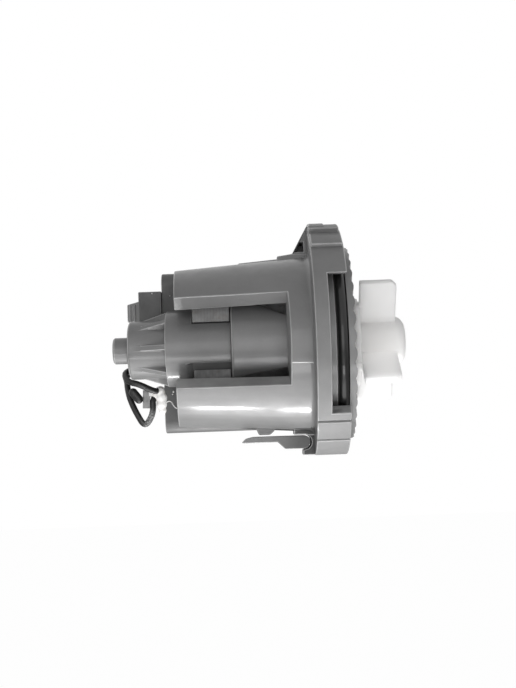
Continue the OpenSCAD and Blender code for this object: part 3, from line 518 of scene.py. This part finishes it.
# Pieces whose CAD shape is already right
for slot, nodes in (
    ("seal_rubber", ("sump_o_ring", "can_seal", "rear_bearing_holder", "front_bearing_holder", "shaft_seal",
                     "dog_dampers")),
    ("bobbin_plastic", ("bobbin_upper", "bobbin_lower", "thrust_washers")),
    ("winding_copper", ("winding_upper", "winding_lower")),
    ("bearing_carbon", ("rear_bearing", "front_bearing")),
    ("shaft_steel", ("shaft",)),
    ("impeller_plastic", ("drive_dog", "rotor_sleeve")),
    ("magnet_ferrite", ("rotor_magnet",)),
    ("contact_tin", ("crimp_terminal",)),
    ("lead_insulation", ("thermal_cutout",)),
    ("cover_plastic", ("front_plate",)),
):
    for node in nodes:
        for material_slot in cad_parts[node].material_slots:
            material_slot.material = MATERIALS[slot]


# Glue, as balls of the hardened mass: centre and radius in millimetres
GLUE_BALLS = [
    (-56.04, 10.4, -13.7, 2), (-57.38, 10.6, -14.67, 1.6), (-58.85, 11, -14.06, 1.4),
    (-55.43, 10.6, -15.84, 2.3), (-55.42, 10.5, -18.06, 2.1), (-55.06, 10.4, -20.09, 1.6),
]


def make_glue():
    bm = bmesh.new()
    for x, y, z, r in GLUE_BALLS:
        bmesh.ops.create_icosphere(bm, subdivisions=3, radius=r * MM,
                                   matrix=Matrix.Translation(Vector((x, y, z)) * MM))
    piece = add_object("glue_mass", to_mesh(bm, "glue_mass"), "hot_glue", HOUSING, ["glue_blob"])
    remesh(piece, 0.25, 6, 0.6)


make_glue()


# String and specks of glue, in millimetres
THREAD = [
    (-53.85, 9.15, -17.49), (-53.29, 9.15, -17.1), (-52.54, 9.15, -17.13), (-51.95, 9.15, -17.69),
    (-51.37, 9.15, -18.74), (-50.71, 9.15, -19.44), (-49.83, 9.15, -19.68),
]
# Specks as centre and radius
SPECKS = [
    (-51.43, 9.25, -13.89, 0.36), (-51.73, 9.25, -14.77, 0.24),
    (-57.55, 7.45, 19.86, 0.22), (-51.65, 9.3, 19, 0.18),
]


def make_thread():
    """String of glue drawn out over the coil housing's front."""
    add_object("glue_thread", tube("glue_thread", smooth_route(THREAD, 4), 0.17, 3), "hot_glue", HOUSING)


def make_specks():
    """Spots of glue spattered over the block and the socket."""
    bm = bmesh.new()
    rng = random.Random(7)
    for x, y, z, r in SPECKS:
        stretch = Matrix.Diagonal((0.7 + 0.5 * rng.random(), 0.5, 1 + 0.6 * rng.random(), 1))
        bmesh.ops.create_icosphere(bm, subdivisions=2, radius=r * MM,
                                   matrix=Matrix.Translation(Vector((x, y, z)) * MM) @ stretch)
    add_object("glue_specks", to_mesh(bm, "glue_specks"), "hot_glue", HOUSING)


make_thread()
make_specks()


# Studio: the world's strength, the floor's half width and height in metres, and its share of plain white
WORLD_LIGHT = 0.4
FLOOR_HALF, FLOOR_LOW = 3.0, -0.34
FLOOR_WHITE = 0.98


def make_world():
    """Soft grey light all round that is shown as white."""
    world = bpy.data.worlds.new("studio")
    scene.world = world
    world.use_nodes = True
    tree = world.node_tree
    rays = tree.nodes.new("ShaderNodeLightPath").outputs
    shown = rays["Is Camera Ray"]
    for name in ("Is Transmission Ray", "Is Glossy Ray"):
        either = tree.nodes.new("ShaderNodeMath")
        either.operation = "MAXIMUM"
        tree.links.new(shown, either.inputs[0])
        tree.links.new(rays[name], either.inputs[1])
        shown = either.outputs[0]
    level = tree.nodes.new("ShaderNodeMapRange")
    level.inputs["To Min"].default_value = WORLD_LIGHT
    tree.links.new(shown, level.inputs["Value"])
    back = tree.nodes["Background"]
    tree.links.new(level.outputs["Result"], back.inputs["Strength"])
    back.inputs["Color"].default_value = (1, 1, 1, 1)


def make_floor():
    """White floor that looks plain white to the camera but for a trace of shadow."""
    mesh = bpy.data.meshes.new("floor")
    corners = [(x * FLOOR_HALF, y * FLOOR_HALF, FLOOR_LOW) for x, y in ((-1, -1), (1, -1), (1, 1), (-1, 1))]
    mesh.from_pydata(corners, [], [(0, 1, 2, 3)])
    floor = bpy.data.objects.new("floor", mesh)
    scene.collection.objects.link(floor)
    n = Nodes("floor_white")
    n.link(n.ramp(n.noise(3, 2), 0.5, 0.6), n.shader.inputs["Roughness"])
    n.shader.inputs["Base Color"].default_value = (0.9, 0.9, 0.9, 1)
    output = n.tree.nodes["Material Output"]
    path = n.new("ShaderNodeLightPath")
    glow = n.new("ShaderNodeEmission")
    glow.inputs["Color"].default_value = (1, 1, 1, 1)
    blend = n.new("ShaderNodeMixShader")
    share = n.new("ShaderNodeMath", operation="MULTIPLY")
    share.inputs[1].default_value = FLOOR_WHITE
    n.link(path.outputs["Is Camera Ray"], share.inputs[0])
    n.link(share.outputs[0], blend.inputs[0])
    n.link(n.shader.outputs[0], blend.inputs[1])
    n.link(glow.outputs[0], blend.inputs[2])
    n.link(blend.outputs[0], output.inputs["Surface"])
    mesh.materials.append(n.material)


def make_lamp(name, place, target, size, power):
    """Soft box at a place in metres, turned to the target."""
    data = bpy.data.lights.new(name, "AREA")
    data.shape = "RECTANGLE"
    data.size, data.size_y = size
    data.energy = power
    lamp = bpy.data.objects.new(name, data)
    scene.collection.objects.link(lamp)
    lamp.location = place
    lamp.rotation_euler = (Vector(target) - Vector(place)).to_track_quat("-Z", "Y").to_euler()
    lamp.visible_camera = False


make_world()
make_floor()
make_lamp("key_left", (-0.067, 0.02, -0.28), (-0.03, 0, -0.01), (0.016, 0.03), 0.26)
make_lamp("key_right", (-0.018, 0.02, -0.28), (-0.01, 0, -0.01), (0.02, 0.03), 0.3)
make_lamp("under_fill", (-0.03, -0.1, -0.32), (-0.02, 0, 0), (0.45, 0.3), 1.1)
make_lamp("low_fill", (-0.03, -0.38, -0.38), (-0.02, 0, 0), (0.4, 0.3), 2.9)
make_lamp("fill", (-0.05, -0.6, 0.02), (-0.02, 0, 0), (0.5, 0.3), 0.8)
